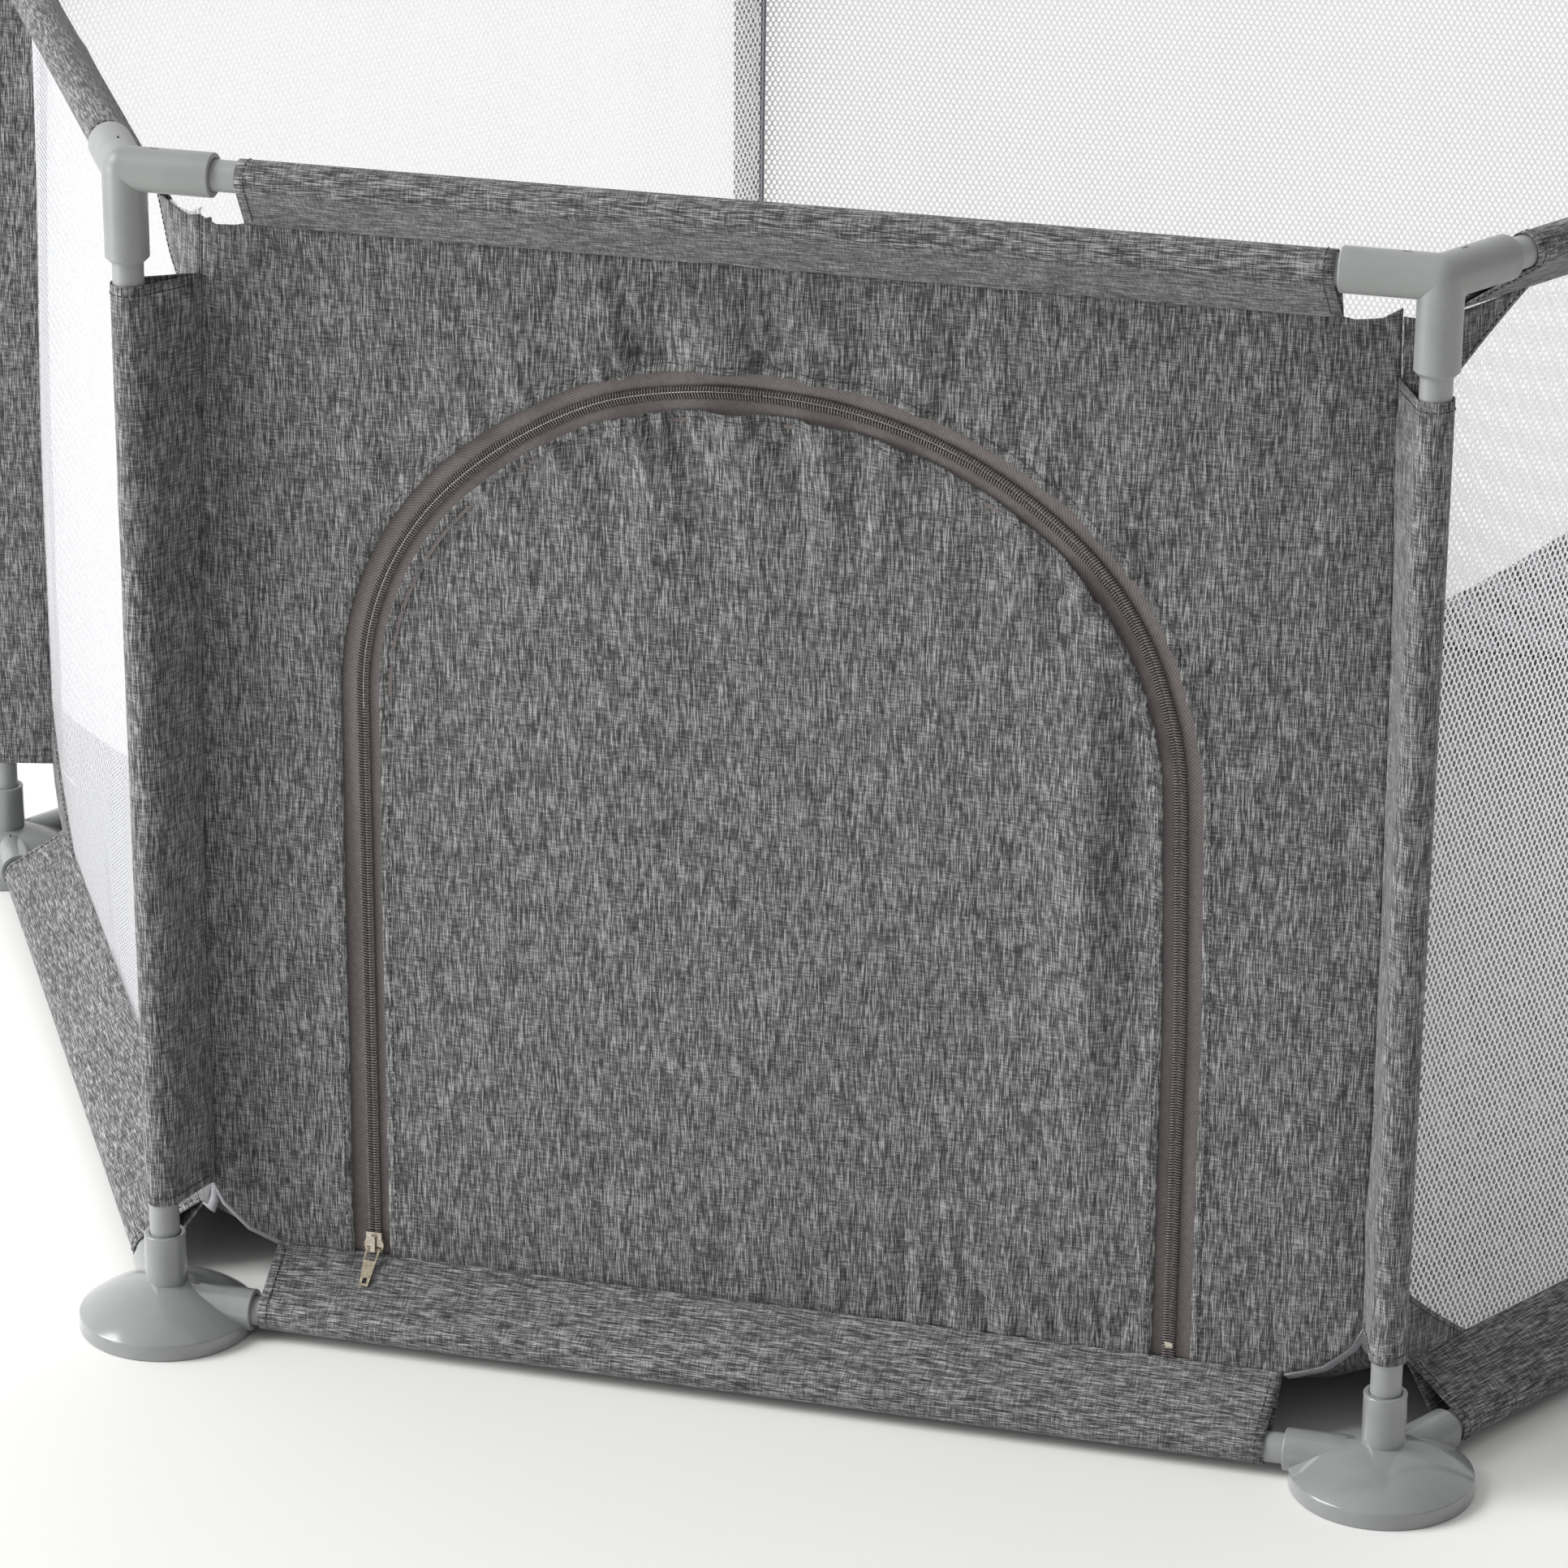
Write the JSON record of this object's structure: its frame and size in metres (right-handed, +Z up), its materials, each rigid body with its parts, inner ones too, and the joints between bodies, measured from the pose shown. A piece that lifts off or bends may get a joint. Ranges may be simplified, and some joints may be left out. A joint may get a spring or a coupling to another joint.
{
  "type": "playpen",
  "caption": "Hexagonal baby playpen: tube frame with push-fit plastic joints and disc feet, mesh walls, and a canvas front with an arched zip door.",
  "frame": {"origin": "middle of the hexagon, on the floor", "axes": "+Z up, the zip door faces -Y, +X to the right as seen from outside the door"},
  "size_m": [1.4792, 1.2944, 0.6828],
  "materials": {
    "tube": "satin",
    "connector": "satin",
    "foot": "gloss",
    "pad": "matte",
    "canvas": "matte",
    "mesh": "matte",
    "floor": "matte",
    "zip_tape": "matte",
    "zip_coil": "satin",
    "zip_metal": "polished"
  },
  "bodies": {
    "enclosure": {"foot_front_left": "foot", "foot_pad_front_left": "pad", "top_connector_front_left": "connector", "post_front_left": "tube", "post_sleeve_front_left": "canvas", "foot_front_right": "foot", "foot_pad_front_right": "pad", "top_connector_front_right": "connector", "post_front_right": "tube", "post_sleeve_front_right": "canvas", "foot_right": "foot", "foot_pad_right": "pad", "top_connector_right": "connector", "post_right": "tube", "post_sleeve_right": "canvas", "foot_back_right": "foot", "foot_pad_back_right": "pad", "top_connector_back_right": "connector", "post_back_right": "tube", "post_sleeve_back_right": "canvas", "foot_back_left": "foot", "foot_pad_back_left": "pad", "top_connector_back_left": "connector", "post_back_left": "tube", "post_sleeve_back_left": "canvas", "foot_left": "foot", "foot_pad_left": "pad", "top_connector_left": "connector", "post_left": "tube", "post_sleeve_left": "canvas", "top_rail_front": "tube", "bottom_rail_front": "tube", "top_rail_right_front": "tube", "bottom_rail_right_front": "tube", "top_rail_right_back": "tube", "bottom_rail_right_back": "tube", "top_rail_back": "tube", "bottom_rail_back": "tube", "top_rail_left_back": "tube", "bottom_rail_left_back": "tube", "top_rail_left_front": "tube", "bottom_rail_left_front": "tube", "mesh_wall_right_front": "mesh", "mesh_wall_right_back": "mesh", "mesh_wall_back": "mesh", "mesh_wall_left_back": "mesh", "mesh_wall_left_front": "mesh", "top_sleeves": "canvas", "bottom_sleeves": "canvas", "corner_gussets": "canvas", "floor_cloth": "floor", "front_wall": "canvas", "door_threshold": "canvas", "zip_tape_outer": "zip_tape", "zip_coil_outer": "zip_coil"},
    "door": {"door_flap": "canvas", "zip_tape_inner": "zip_tape", "zip_coil_inner": "zip_coil"},
    "slider": {"zip_slider": "zip_metal"},
    "tab": {"zip_pull_tab": "zip_metal"}
  },
  "joints": [
    {"name": "door_fold", "type": "hinge", "parent": "enclosure", "child": "door", "pos_m": [0, -0.56606, 0.0625], "axis": [1, 0, 0], "range_deg": [0, 96.7]},
    {"name": "zip_slide", "type": "slide", "parent": "enclosure", "child": "slider", "axis": [0, 0, 1], "range_m": [0, 0.315]},
    {"name": "pull_tab_swing", "type": "hinge", "parent": "slider", "child": "tab", "pos_m": [-0.2315, -0.57031, 0.0482], "axis": [-0.9994, 0, 0.0349], "range_deg": [0, 50]}
  ]
}
